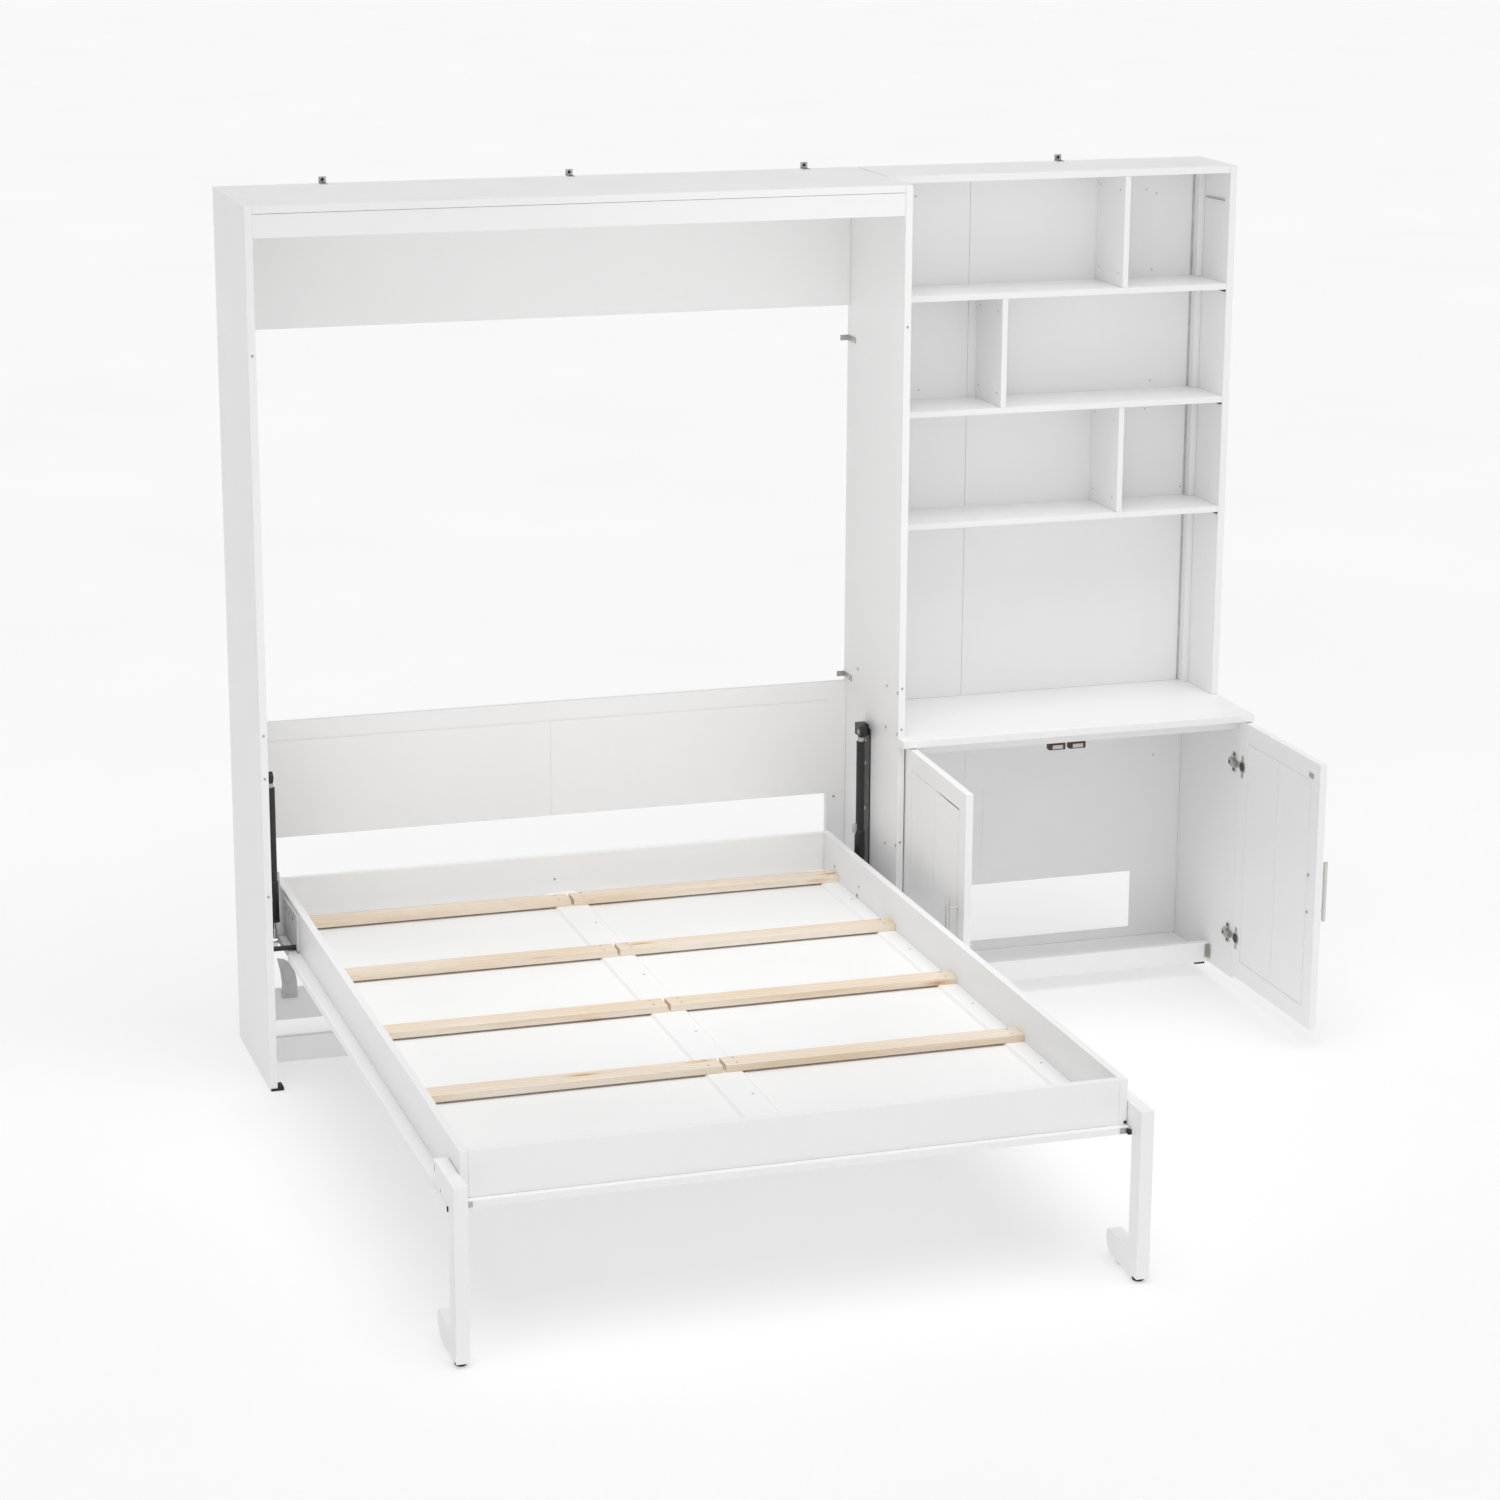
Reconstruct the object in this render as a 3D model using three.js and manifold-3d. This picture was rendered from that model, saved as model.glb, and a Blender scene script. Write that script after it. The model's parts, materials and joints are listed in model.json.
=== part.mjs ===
// Murphy wall bed with a bookcase hutch and a base cabinet, bed folded down.
// Millimetres, +X to the right, +Y towards the wall, +Z up.
// The layout frame has x = 0 at the bed cabinet's left face, y = 0 at the wall
// and z = 0 at the floor; the last lines move the origin to the bottom centre.
import * as THREE from "three";
import { mergeVertices } from "three/addons/utils/BufferGeometryUtils.js";
import Module from "manifold-3d";

const wasm = await Module();
wasm.setup();

// ---------- driving dimensions ----------
const BOARD = 18;               // thickness of the carcass boards
const SEAM = 0.3;               // gap left between two pieces that meet
const HEIGHT = 2133;            // whole height
const BED_CABINET_WIDTH = 1618;
const BED_CABINET_DEPTH = 415;
const TOTAL_WIDTH = 2553;       // bed cabinet and bookcase together
const CENTRE = BED_CABINET_WIDTH / 2;

// bed cabinet, front to back and up
const FASCIA_BOTTOM = 2059;
const FASCIA_FRONT = -413.8;     // set back behind the top board's edge
const UPPER_BACK_BOTTOM = 1789;
const LOWER_BACK = { bottom: 518, top: 815 };
const BACK_STILE_WIDTH = 52;
const BACK_RAIL = { bottom: 40, top: 121 };
const FLOOR_RAIL = { front: -217, top: 64 };
const PANEL_GROOVE = { width: 4, depth: 2.5, inset: 49 };

// bed box; half widths are measured from the bed's centre line
const MATTRESS_HALF = 705;      // inner face of the side rails
const RAIL_HALF = MATTRESS_HALF + BOARD;
const FLOOR_HALF = 754;         // the floor panel stands out past the rails
const BED_HEAD = -87;
const BED_FOOT = -2046;
const FLOOR_FOOT = -2062;
const FLOOR_PANEL = { bottom: 320, top: 336 };
const RAIL_TOP = 437;
const LEDGE = { width: 44, top: 341 };
const CENTRE_BEAM_HALF = 40;
const SLAT = { width: 56, thickness: 16, firstFront: -227, pitch: 426.7, rows: 4, centreGap: 4 };

// the bed turns about this line, along X
const PIVOT = { y: -366, z: 344, pin: 6, hole: 7 };

// gas struts, one in the gap at each side of the bed
const STRUT_HALF = 756;
const STRUT_TOP = { y: -237, z: 737 };
const STRUT_FOOT = { y: -237, z: 320 };
const TUBE = { radius: 11, sleeve: 13.5, bore: 6.2, bottom: 374, sleeveTop: 478, top: 712 };
const ROD = { radius: 5, top: 610 };
const STUD = 5;
const MOUNT_PLATE = { thickness: 3, back: -158, front: -214, bottom: 300, top: 734 };
const STRUT_LUG = { inner: 763, outer: 768, back: -170, root: -200, bottom: 715, top: 745, ear: 14 };

// legs: C shapes that hang from pins in the side rails
const LEG_PIVOT = { y: -1970, z: 345, pin: 6, hole: 6.8 };
const LEG = { inner: 724, outer: 753, front: -2120, bar: 48, hookBack: -1955 };
const LEG_ARM = { bottom: 320.3, top: 388 };
const LEG_HOOK = { bottom: 11, top: 68, toe: 12, heel: 38 };
const LEG_NOTCH = LEG_PIVOT.y + 26;
const LEG_LINE = { z: 336, depth: 1.2, width: 1.6 };

// bookcase hutch
const HUTCH_DEPTH = 231;
const BACK_PANEL = { front: -52, thickness: 6 };
const SHELF = 15;
const SHELF_UNDERSIDES = [1821, 1532, 1247];
const DIVIDER_LEFTS = [2250, 1928, 2251];
const BACK_SEAM = 1905;
const MODULE_GAP = 3;           // between the bed cabinet and the bookcase's left side

// base cabinet under the hutch
const COUNTER = { bottom: 744, top: 762, front: -456, overBedPanel: 1600 };
const BASE_DEPTH = 412;
const APRON = { front: -400, bottom: 712 };
const TOE = { height: 43, back: -150 };     // the sides stand on their rear part only
const PLINTH = { front: -270, top: 97 };
const PLATFORM = { bottom: 43, top: 59 };
const CABLE_WINDOW = { left: 1890, right: 2400, bottom: 86, top: 242 };
const BACK_LINES = { width: 3, depth: 1.5, at: [[1920, 520, 730], [1972, 283, 503]] };

// doors, drawn closed and then swung open about their hinge lines
const DOOR = { bottom: 55, top: 740, back: -415.8, edge: 2, meeting: 1.5 };
const DOOR_GROOVE = { width: 4, depth: 2, inset: 50 };
const DOOR_HINGE = { fromEdge: 8, y: -426 };
const LEFT_DOOR_OPEN = 92;
const RIGHT_DOOR_OPEN = 90;
const HANDLE = { length: 152, spacing: 96, radius: 5.5, stand: 28, post: 4, fromEdge: 41, middle: 400 };

// ---------- materials ----------
const material = (name, color, roughness, metalness) =>
  new THREE.MeshStandardMaterial({ name, color, roughness, metalness });
const boardWhite = material("painted_board", 0xf1f0ee, 0.5, 0);
const pine = material("pine", 0xdcb88a, 0.7, 0);
const blackSteel = material("black_steel", 0x151515, 0.45, 0.4);
const whiteSteel = material("white_steel", 0xeeeeec, 0.4, 0.1);
const chrome = material("chrome", 0xc4c6c8, 0.25, 1);
const nickel = material("nickel", 0xb0aea8, 0.35, 1);
const rubber = material("rubber", 0x1a1a1a, 0.8, 0);

const layout = new THREE.Group();

// ---------- small helpers ----------
function add(name, geometry, look, parent = layout) {
  const mesh = new THREE.Mesh(geometry, look);
  mesh.name = name;
  parent.add(mesh);
  return mesh;
}

// a block from its lowest to its highest corner
function block([x0, x1], [y0, y1], [z0, z1]) {
  const geometry = new THREE.BoxGeometry(x1 - x0, y1 - y0, z1 - z0);
  return geometry.translate((x0 + x1) / 2, (y0 + y1) / 2, (z0 + z1) / 2);
}

// a block drawn in by half a seam on every face, so that neighbours don't touch
function seamed([x0, x1], [y0, y1], [z0, z1]) {
  const half = SEAM / 2;
  return block([x0 + half, x1 - half], [y0 + half, y1 - half], [z0 + half, z1 - half]);
}

function board(name, xs, ys, zs, look = boardWhite) {
  return add(name, seamed(xs, ys, zs), look);
}

// an outline in the YZ plane, made thick along X
function plateAlongX(shape, x0, x1, segments = 10) {
  const options = { depth: x1 - x0, bevelEnabled: false, curveSegments: segments };
  const geometry = new THREE.ExtrudeGeometry(shape, options);
  const turn = new THREE.Matrix4().makeBasis(
    new THREE.Vector3(0, 1, 0), new THREE.Vector3(0, 0, 1), new THREE.Vector3(1, 0, 0));
  return geometry.applyMatrix4(turn).translate(x0, 0, 0);
}

// a round bar along X
function barAlongX(x0, x1, y, z, radius, sides = 24) {
  const geometry = new THREE.CylinderGeometry(radius, radius, x1 - x0, sides);
  return geometry.rotateZ(Math.PI / 2).translate((x0 + x1) / 2, y, z);
}

// a turned piece standing on its Z axis; the profile is a list of [radius, height]
function turned(profile, x, y, sides = 24) {
  const points = profile.map(([radius, height]) => new THREE.Vector2(radius, height));
  return new THREE.LatheGeometry(points, sides).rotateX(Math.PI / 2).translate(x, y, 0);
}

function toSolid(geometry) {
  const bare = geometry.clone();
  bare.deleteAttribute("normal");
  bare.deleteAttribute("uv");
  const merged = mergeVertices(bare, 1e-4);
  return new wasm.Manifold(new wasm.Mesh({
    numProp: 3,
    vertProperties: new Float32Array(merged.attributes.position.array),
    triVerts: new Uint32Array(merged.index.array),
  }));
}

function toGeometry(solid) {
  const mesh = solid.getMesh();
  const geometry = new THREE.BufferGeometry();
  geometry.setAttribute("position", new THREE.BufferAttribute(new Float32Array(mesh.vertProperties), 3));
  geometry.setIndex(new THREE.BufferAttribute(new Uint32Array(mesh.triVerts), 1));
  geometry.computeVertexNormals();
  return geometry;
}

function join(...geometries) {
  return toGeometry(geometries.map(toSolid).reduce((whole, piece) => whole.add(piece)));
}

function cut(geometry, ...tools) {
  return toGeometry(tools.map(toSolid).reduce((whole, tool) => whole.subtract(tool), toSolid(geometry)));
}

// x range of something at half distance a..b from the bed's centre, at side -1 or +1
function across(side, a, b) {
  const ends = [CENTRE + side * a, CENTRE + side * b];
  return ends.sort((p, q) => p - q);
}

const SIDES = [["left", -1], ["right", 1]];

// ---------- bed cabinet ----------
function bedCabinet() {
  const inner = [BOARD, BED_CABINET_WIDTH - BOARD];
  const depth = [-BED_CABINET_DEPTH, 0];
  const back = [-BOARD, 0];
  board("side_panel_left", [0, BOARD], depth, [0, HEIGHT]);
  board("side_panel_right", [BED_CABINET_WIDTH - BOARD, BED_CABINET_WIDTH], depth, [0, HEIGHT]);
  board("top_board", inner, depth, [HEIGHT - BOARD, HEIGHT]);
  const fasciaYs = [FASCIA_FRONT, FASCIA_FRONT + BOARD];
  board("fascia_board", inner, fasciaYs, [FASCIA_BOTTOM, HEIGHT - BOARD - 0.6]);
  board("upper_back_board", inner, back, [UPPER_BACK_BOTTOM, HEIGHT - BOARD]);
  add("lower_back_board", groovedBackBoard(inner, back), boardWhite);
  for (const [name, side] of SIDES) {
    const xs = across(side, CENTRE - BOARD, CENTRE - BOARD - BACK_STILE_WIDTH);
    board(`back_stile_${name}`, xs, back, [0, LOWER_BACK.bottom]);
  }
  const railXs = [inner[0] + BACK_STILE_WIDTH, inner[1] - BACK_STILE_WIDTH];
  board("lower_back_rail", railXs, back, [BACK_RAIL.bottom, BACK_RAIL.top]);
  board("floor_rail", inner, [FLOOR_RAIL.front, FLOOR_RAIL.front + BOARD], [0, FLOOR_RAIL.top]);
}

// the board behind the pillows, with a routed line near its top edge and one down its middle
function groovedBackBoard(xs, ys) {
  const { width, depth, inset } = PANEL_GROOVE;
  const lineZ = LOWER_BACK.top - inset;
  const front = [ys[0] - 1, ys[0] + depth];
  const lineEnds = [xs[0] + BACK_STILE_WIDTH, xs[1] - BACK_STILE_WIDTH];
  const crossLine = block(lineEnds, front, [lineZ - width / 2, lineZ + width / 2]);
  const middleLine = block([CENTRE - width / 2, CENTRE + width / 2], front, [LOWER_BACK.bottom - 1, lineZ]);
  return cut(seamed(xs, ys, [LOWER_BACK.bottom, LOWER_BACK.top]), crossLine, middleLine);
}

// ---------- steel plates on the side panels: pivot pin in front, strut's lug and stud on top ----------
function mountPlateShape() {
  const { back, front, bottom, top } = MOUNT_PLATE;
  const shape = new THREE.Shape();
  shape.moveTo(back, top);
  shape.lineTo(front, top);
  shape.lineTo(front, 372);
  shape.lineTo(PIVOT.y, PIVOT.z + 22);
  shape.absarc(PIVOT.y, PIVOT.z, 22, Math.PI / 2, Math.PI * 1.5, false);
  shape.lineTo(front, bottom);
  shape.lineTo(back, bottom);
  return shape;
}

function strutLugShape() {
  const { back, root, bottom, top, ear } = STRUT_LUG;
  const shape = new THREE.Shape();
  shape.moveTo(back, bottom);
  shape.lineTo(back, top);
  shape.lineTo(STRUT_TOP.y, STRUT_TOP.z + ear);
  shape.absarc(STRUT_TOP.y, STRUT_TOP.z, ear, Math.PI / 2, Math.PI * 1.5, false);
  shape.lineTo(root, bottom);
  return shape;
}

function mountPlates() {
  const outer = CENTRE - BOARD - SEAM;
  const face = outer - MOUNT_PLATE.thickness;
  const overlap = 1;
  const { inner, outer: lugFace, back, root, bottom, top } = STRUT_LUG;
  for (const [name, side] of SIDES) {
    const plate = plateAlongX(mountPlateShape(), ...across(side, face, outer));
    const pin = barAlongX(...across(side, face + overlap, MATTRESS_HALF + 6), PIVOT.y, PIVOT.z, PIVOT.pin);
    const spacer = block(across(side, lugFace - overlap, face + overlap), [root, back], [bottom, top]);
    const lug = plateAlongX(strutLugShape(), ...across(side, inner, lugFace));
    const stud = barAlongX(...across(side, inner + overlap, STRUT_HALF - 8), STRUT_TOP.y, STRUT_TOP.z, STUD);
    add(`mount_plate_${name}`, join(plate, pin, spacer, lug, stud), blackSteel);
  }
}

// ---------- bed box ----------
function bedRails() {
  const heights = [FLOOR_PANEL.top, RAIL_TOP];
  for (const [name, side] of SIDES) {
    const xs = across(side, MATTRESS_HALF, RAIL_HALF);
    const holes = [PIVOT, LEG_PIVOT].map(({ y, z, hole }) => barAlongX(xs[0] - 5, xs[1] + 5, y, z, hole));
    add(`bed_rail_${name}`, cut(seamed(xs, [BED_FOOT, BED_HEAD], heights), ...holes), boardWhite);
  }
  const between = across(1, -MATTRESS_HALF, MATTRESS_HALF);
  board("bed_head_rail", between, [BED_HEAD - BOARD, BED_HEAD], heights);
  board("bed_foot_rail", between, [BED_FOOT, BED_FOOT + BOARD], heights);
}

// the closed underside of the bed, notched for the legs, slotted for the steel plates and their studs
function bedFloorPanel() {
  const through = [FLOOR_PANEL.bottom - 1, FLOOR_PANEL.top + 1];
  const heights = [FLOOR_PANEL.bottom, FLOOR_PANEL.top];
  const whole = seamed(across(1, -FLOOR_HALF, FLOOR_HALF), [FLOOR_FOOT, BED_HEAD], heights);
  const tools = [];
  for (const [, side] of SIDES) {
    tools.push(block(across(side, RAIL_HALF, FLOOR_HALF + 1), [FLOOR_FOOT - 1, LEG_NOTCH], through));
    const nearPlate = [PIVOT.y - 28, STRUT_FOOT.y + 26];
    tools.push(block(across(side, RAIL_HALF, RAIL_HALF + 7), nearPlate, through));
    tools.push(block(across(side, STRUT_HALF - 8, FLOOR_HALF + 1), nearPlate, through));
    tools.push(block(across(side, RAIL_HALF + 6, FLOOR_HALF + 1), [STRUT_FOOT.y - 9, STRUT_FOOT.y + 9], through));
  }
  add("bed_floor_panel", cut(whole, ...tools), boardWhite);
}

function slatSupports() {
  const ys = [BED_FOOT + BOARD, BED_HEAD - BOARD];
  const zs = [FLOOR_PANEL.top, LEDGE.top];
  for (const [name, side] of SIDES) {
    board(`slat_ledge_${name}`, across(side, MATTRESS_HALF - LEDGE.width, MATTRESS_HALF), ys, zs);
  }
  board("centre_beam", across(1, -CENTRE_BEAM_HALF, CENTRE_BEAM_HALF), ys, zs);
}

function slats() {
  for (let row = 0; row < SLAT.rows; row += 1) {
    const front = SLAT.firstFront - row * SLAT.pitch;
    for (const [name, side] of SIDES) {
      const xs = across(side, SLAT.centreGap, MATTRESS_HALF);
      const heights = [LEDGE.top, LEDGE.top + SLAT.thickness];
      board(`slat_${row + 1}_${name}`, xs, [front, front + SLAT.width], heights, pine);
    }
  }
}

// steel plate on each side rail: it takes the pivot pin and carries the strut's lower stud
function bedPlates() {
  const inner = RAIL_HALF + SEAM;
  const outer = inner + 5;
  const top = RAIL_TOP - 10;
  for (const [name, side] of SIDES) {
    const shape = new THREE.Shape();
    shape.moveTo(STRUT_FOOT.y + 22, top);
    shape.lineTo(PIVOT.y - 22, top);
    shape.lineTo(PIVOT.y - 22, PIVOT.z);
    shape.absarc(PIVOT.y, PIVOT.z, 22, Math.PI, Math.PI * 1.5, false);
    shape.lineTo(STRUT_FOOT.y - 14, STRUT_FOOT.z);
    shape.absarc(STRUT_FOOT.y, STRUT_FOOT.z, 14, Math.PI, Math.PI * 2, false);
    shape.lineTo(STRUT_FOOT.y + 22, FLOOR_PANEL.top + 10);
    const xs = across(side, inner, outer);
    const studXs = across(side, outer - 1, STRUT_HALF - 7);
    const plate = plateAlongX(shape, xs[0], xs[1]);
    const hole = barAlongX(xs[0] - 5, xs[1] + 5, PIVOT.y, PIVOT.z, PIVOT.hole);
    const stud = barAlongX(studXs[0], studXs[1], STRUT_FOOT.y, STRUT_FOOT.z, STUD);
    add(`bed_plate_${name}`, cut(join(plate, stud), hole), whiteSteel);
  }
}

// ---------- gas struts ----------
function eye(y, z, radius, hole, half) {
  const ring = (side, r, extra) => {
    const xs = across(side, STRUT_HALF - half - extra, STRUT_HALF + half + extra);
    return barAlongX(xs[0], xs[1], y, z, r);
  };
  return (side) => ({ outside: ring(side, radius, 0), inside: ring(side, hole, 2) });
}

function struts() {
  const topEye = eye(STRUT_TOP.y, STRUT_TOP.z, 14, 5.8, 6);
  const footEye = eye(STRUT_FOOT.y, STRUT_FOOT.z, 13, 6, 5);
  const { radius, sleeve, bore, bottom, sleeveTop, top } = TUBE;
  const tubeProfile = [
    [0, top], [radius, top], [radius, sleeveTop], [sleeve, sleeveTop - 4], [sleeve, bottom],
    [bore, bottom], [bore, ROD.top + 40], [0, ROD.top + 40],
  ];
  const rodBottom = STRUT_FOOT.z + 9;
  const rodProfile = [
    [0, rodBottom], [6.2, rodBottom], [6.2, rodBottom + 22], [ROD.radius, rodBottom + 24],
    [ROD.radius, ROD.top], [0, ROD.top],
  ];
  for (const [name, side] of SIDES) {
    const x = CENTRE + side * STRUT_HALF;
    const neck = turned([[0, top - 5], [6, top - 5], [6, STRUT_TOP.z], [0, STRUT_TOP.z]], x, STRUT_TOP.y, 16);
    const upper = topEye(side);
    const lower = footEye(side);
    const tube = cut(join(turned(tubeProfile.reverse(), x, STRUT_TOP.y), neck, upper.outside), upper.inside);
    tubeProfile.reverse();
    add(`strut_tube_${name}`, tube, blackSteel);
    const rod = cut(join(turned(rodProfile, x, STRUT_FOOT.y), lower.outside), lower.inside);
    add(`strut_rod_${name}`, rod, chrome);
  }
}

// ---------- legs ----------
// the arm's lower back corner is round about the pivot, so it clears the notch in the floor panel
function legShape() {
  const { front, bar, hookBack } = LEG;
  const { bottom, top, toe, heel } = LEG_HOOK;
  const round = LEG_PIVOT.z - LEG_ARM.bottom;
  const shape = new THREE.Shape();
  shape.moveTo(front, bottom);
  shape.lineTo(hookBack - heel, bottom);
  shape.absarc(hookBack - heel, bottom + heel, heel, -Math.PI / 2, 0, false);
  shape.absarc(hookBack - toe, top - toe, toe, 0, Math.PI / 2, false);
  shape.lineTo(front + bar, top);
  shape.lineTo(front + bar, LEG_ARM.bottom);
  shape.absarc(LEG_PIVOT.y, LEG_PIVOT.z, round, -Math.PI / 2, 0, false);
  shape.lineTo(LEG_PIVOT.y + round, LEG_ARM.top);
  shape.lineTo(front, LEG_ARM.top);
  return shape;
}

// a fine line on both faces of the arm carries on the line of the floor panel's top
function legLines(side) {
  const { z, depth, width } = LEG_LINE;
  return [[LEG.outer - depth, LEG.outer + 1], [LEG.inner - 1, LEG.inner + depth]].map(([a, b]) =>
    block(across(side, a, b), [LEG.front + LEG.bar, LEG_NOTCH], [z - width / 2, z + width / 2]));
}

function legs() {
  for (const [name, side] of SIDES) {
    const xs = across(side, LEG.inner, LEG.outer);
    const pinXs = across(side, MATTRESS_HALF + 3, LEG.inner + 1);
    const pin = barAlongX(pinXs[0], pinXs[1], LEG_PIVOT.y, LEG_PIVOT.z, LEG_PIVOT.pin);
    const plate = plateAlongX(legShape(), xs[0], xs[1], 12);
    add(`leg_${name}`, join(cut(plate, ...legLines(side)), pin), boardWhite);
    const glideTop = LEG_HOOK.bottom - SEAM;
    const glide = [[0, 0], [10, 0], [13, 2.5], [13, 7.5], [9, glideTop], [0, glideTop]];
    add(`leg_glide_${name}`, turned(glide, (xs[0] + xs[1]) / 2, LEG.front + LEG.bar / 2, 32), rubber);
  }
}

// ---------- bookcase hutch ----------
function hutch() {
  const left = BED_CABINET_WIDTH + SEAM;
  const inner = [left + BOARD, TOTAL_WIDTH - BOARD];
  const depth = [-HUTCH_DEPTH, 0];
  const heights = [COUNTER.top, HEIGHT];
  const backYs = [BACK_PANEL.front, BACK_PANEL.front + BACK_PANEL.thickness];
  board("hutch_side_left", [BED_CABINET_WIDTH + MODULE_GAP, inner[0]], depth, heights);
  board("hutch_side_right", [inner[1], TOTAL_WIDTH], depth, heights);
  board("hutch_top", inner, depth, [HEIGHT - BOARD, HEIGHT]);
  board("hutch_back_left", [inner[0], BACK_SEAM - 0.5], backYs, [COUNTER.top, HEIGHT - BOARD]);
  board("hutch_back_right", [BACK_SEAM + 0.5, inner[1]], backYs, [COUNTER.top, HEIGHT - BOARD]);
  let ceiling = HEIGHT - BOARD;
  SHELF_UNDERSIDES.forEach((underside, row) => {
    board(`hutch_shelf_${row + 1}`, inner, [-HUTCH_DEPTH, BACK_PANEL.front], [underside, underside + SHELF]);
    const x = DIVIDER_LEFTS[row];
    const dividerYs = [2 - HUTCH_DEPTH, BACK_PANEL.front];
    board(`hutch_divider_${row + 1}`, [x, x + SHELF], dividerYs, [underside + SHELF, ceiling]);
    ceiling = underside;
  });
}

// ---------- base cabinet ----------
function countertop() {
  const left = BED_CABINET_WIDTH + SEAM;
  const shape = new THREE.Shape();
  const tongue = -BED_CABINET_DEPTH - SEAM;
  shape.moveTo(left, 0);
  shape.lineTo(left, tongue);
  shape.lineTo(COUNTER.overBedPanel, tongue);
  shape.lineTo(COUNTER.overBedPanel, COUNTER.front);
  shape.lineTo(TOTAL_WIDTH, COUNTER.front);
  shape.lineTo(TOTAL_WIDTH, 0);
  const thickness = COUNTER.top - COUNTER.bottom - SEAM;
  const geometry = new THREE.ExtrudeGeometry(shape, { depth: thickness, bevelEnabled: false });
  add("countertop", geometry.translate(0, 0, COUNTER.bottom + SEAM / 2), boardWhite);
}

function baseCabinet() {
  const left = BED_CABINET_WIDTH + SEAM;
  const inner = [left + BOARD, TOTAL_WIDTH - BOARD];
  const heights = [0, COUNTER.bottom];
  const sides = { left: [BED_CABINET_WIDTH + MODULE_GAP, inner[0]], right: [inner[1], TOTAL_WIDTH] };
  for (const [side, xs] of Object.entries(sides)) {
    const toe = block([xs[0] - 1, xs[1] + 1], [-BASE_DEPTH - 1, TOE.back], [-1, TOE.height]);
    add(`base_side_${side}`, cut(seamed(xs, [-BASE_DEPTH, 0], heights), toe), boardWhite);
  }
  board("base_apron", inner, [APRON.front, APRON.front + BOARD], [APRON.bottom, COUNTER.bottom]);
  board("base_plinth", inner, [PLINTH.front, PLINTH.front + BOARD], [TOE.height, PLINTH.top]);
  const platformYs = [PLINTH.front + BOARD, BACK_PANEL.front + BACK_PANEL.thickness];
  board("base_platform", inner, platformYs, [PLATFORM.bottom, PLATFORM.top]);
  const { left: x0, right: x1, bottom, top } = CABLE_WINDOW;
  const backYs = [BACK_PANEL.front, BACK_PANEL.front + BACK_PANEL.thickness];
  const back = seamed(inner, backYs, [PLATFORM.top, COUNTER.bottom]);
  const window = block([x0, x1], [backYs[0] - 1, backYs[1] + 1], [bottom, top]);
  const lines = BACK_LINES.at.map(([x, z0, z1]) => block(
    [x - BACK_LINES.width / 2, x + BACK_LINES.width / 2], [backYs[0] - 1, backYs[0] + BACK_LINES.depth], [z0, z1]));
  add("base_back", cut(back, window, ...lines), boardWhite);
  countertop();
}

// ---------- doors ----------
// routed lines on both faces of a door: a rectangle inside its edges and one line down the middle
function doorGrooves(xs, ys, zs) {
  const { width, depth, inset } = DOOR_GROOVE;
  const half = width / 2;
  const lineXs = [xs[0] + inset, (xs[0] + xs[1]) / 2, xs[1] - inset];
  const lineZs = [zs[0] + inset, zs[1] - inset];
  const faces = [[ys[0] - 1, ys[0] + depth], [ys[1] - depth, ys[1] + 1]];
  return faces.map((face) => join(
    ...lineXs.map((x) => block([x - half, x + half], face, [lineZs[0] - half, lineZs[1] + half])),
    ...lineZs.map((z) => block([lineXs[0] - half, lineXs[2] + half], face, [z - half, z + half]))));
}

// drawn closed around the hinge line; side -1 is the left door, hinged on its left edge
function door(name, side, openAngle) {
  const outerEdge = side < 0 ? BED_CABINET_WIDTH + SEAM + DOOR.edge : TOTAL_WIDTH - DOOR.edge;
  const middle = (BED_CABINET_WIDTH + SEAM + TOTAL_WIDTH) / 2;
  const freeEdge = middle + side * DOOR.meeting;
  const hingeX = outerEdge - side * DOOR_HINGE.fromEdge;
  const xs = [outerEdge - hingeX, freeEdge - hingeX].sort((p, q) => p - q);
  const ys = [DOOR.back - BOARD - DOOR_HINGE.y, DOOR.back - DOOR_HINGE.y];
  const zs = [DOOR.bottom, DOOR.top];
  const swing = new THREE.Group();
  swing.position.set(hingeX, DOOR_HINGE.y, 0);
  swing.rotation.z = THREE.MathUtils.degToRad(side * openAngle);
  layout.add(swing);
  add(`door_${name}`, cut(block(xs, ys, zs), ...doorGrooves(xs, ys, zs)), boardWhite, swing);
  const handleX = freeEdge - hingeX + side * HANDLE.fromEdge;
  add(`handle_${name}`, handle(handleX, ys[0]), nickel, swing);
}

function handle(x, face) {
  const y = face - HANDLE.stand;
  const bar = new THREE.CylinderGeometry(HANDLE.radius, HANDLE.radius, HANDLE.length, 24);
  bar.rotateX(Math.PI / 2).translate(x, y, HANDLE.middle);
  const posts = [-1, 1].map((end) => {
    const length = HANDLE.stand - SEAM;
    const post = new THREE.CylinderGeometry(HANDLE.post, HANDLE.post, length, 16);
    return post.translate(x, face - SEAM - length / 2, HANDLE.middle + end * HANDLE.spacing / 2);
  });
  return join(bar, ...posts);
}

bedCabinet();
mountPlates();
bedRails();
bedFloorPanel();
slatSupports();
slats();
bedPlates();
struts();
legs();
hutch();
baseCabinet();
door("left", -1, LEFT_DOOR_OPEN);
door("right", 1, RIGHT_DOOR_OPEN);

// origin at the bottom centre of the whole piece as it stands, bed down and doors open
const bounds = new THREE.Box3().setFromObject(layout, true);
const middle = bounds.getCenter(new THREE.Vector3());
layout.position.set(-middle.x, -middle.y, -bounds.min.z);

const group = new THREE.Group();
group.add(layout);
group.updateMatrixWorld(true);

export default group;
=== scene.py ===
"""Murphy wall bed with a bookcase and a base cupboard.

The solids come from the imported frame. This script gives them their materials and eased edges,
adds the small hardware, and sets the stage.
"""

import json
import math

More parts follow.
